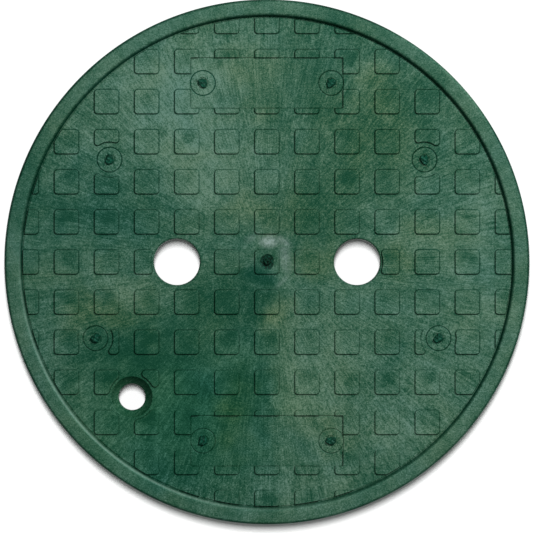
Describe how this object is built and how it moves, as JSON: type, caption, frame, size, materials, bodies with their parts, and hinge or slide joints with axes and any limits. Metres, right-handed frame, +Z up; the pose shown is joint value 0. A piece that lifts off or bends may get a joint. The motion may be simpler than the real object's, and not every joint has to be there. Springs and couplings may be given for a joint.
{
  "type": "valve box lid",
  "caption": "Round moulded lid for an in-ground valve box, with a raised rim, square grip pads, finger holes and a countersunk hole for a lock bolt.",
  "frame": {"origin": "on the lid's axis, on the plane that the foot of its skirt stands on", "axes": "+Z up through the lid, +Y towards the far label plate, +X to the right with the bolt hole at the lower left"},
  "size_m": [0.262, 0.262, 0.025],
  "materials": {
    "lid_plastic": "mottled dark green, matte, lightly scuffed"
  },
  "bodies": {
    "root": {"lid": "lid_plastic"}
  },
  "joints": []
}
